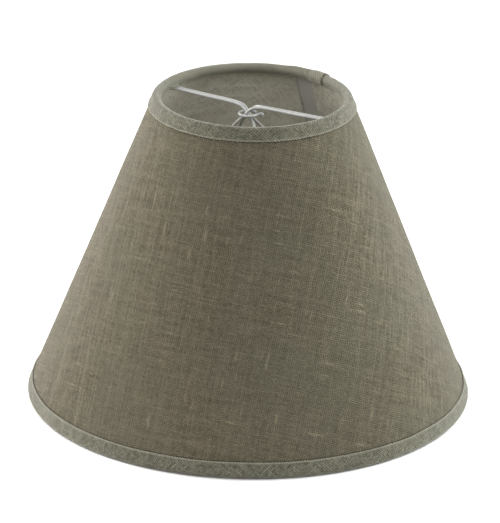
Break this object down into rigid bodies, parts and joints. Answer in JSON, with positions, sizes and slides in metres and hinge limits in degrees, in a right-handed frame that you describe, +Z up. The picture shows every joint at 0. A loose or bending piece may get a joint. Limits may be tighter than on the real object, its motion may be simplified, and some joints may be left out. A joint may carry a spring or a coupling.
{
  "type": "lamp shade",
  "caption": "Small conical linen lamp shade with bound rims, two wire hoops and a spring-wire bulb clip across the top opening.",
  "frame": {"origin": "middle of the circle that the bottom rim stands on", "axes": "+Z up along the cone's axis, +X along the arms of the bulb clip, towards the right arm's weld"},
  "size_m": [0.2, 0.2, 0.143],
  "materials": {
    "linen": "slubby natural taupe linen, plain weave",
    "lining": "smooth semi-gloss film",
    "hoop": "white powder coat",
    "binding": "grey-green woven tape, folded edges",
    "clip": "white powder coat, semi-gloss"
  },
  "bodies": {
    "shade": {"linen_cover": "linen", "lining_film": "lining", "top_hoop": "hoop", "bottom_hoop": "hoop", "top_binding": "binding", "bottom_binding": "binding"},
    "clip_wire_left": {"clip_wire_left": "clip"},
    "clip_wire_right": {"clip_wire_right": "clip"},
    "clip_collar": {"clip_collar": "clip"}
  },
  "joints": [
    {"name": "left_clip_flex", "type": "hinge", "parent": "shade", "child": "clip_wire_left", "pos_m": [-0.0411, 0, 0.1386], "axis": [0, -1, 0], "range_deg": [0, 6], "stiffness_Nm_per_rad": 0.8},
    {"name": "right_clip_flex", "type": "hinge", "parent": "shade", "child": "clip_wire_right", "pos_m": [0.0411, 0, 0.1386], "axis": [0, 1, 0], "range_deg": [0, 5.6], "stiffness_Nm_per_rad": 0.8},
    {"name": "collar_rise", "type": "slide", "parent": "shade", "child": "clip_collar", "axis": [0, 0, 1], "range_m": [0, 0.0042]}
  ],
  "couplings": [
    {"joint": "right_clip_flex", "follows": "left_clip_flex", "ratio": 0.898},
    {"joint": "collar_rise", "follows": "left_clip_flex", "m_per_rad": 0.0389}
  ]
}
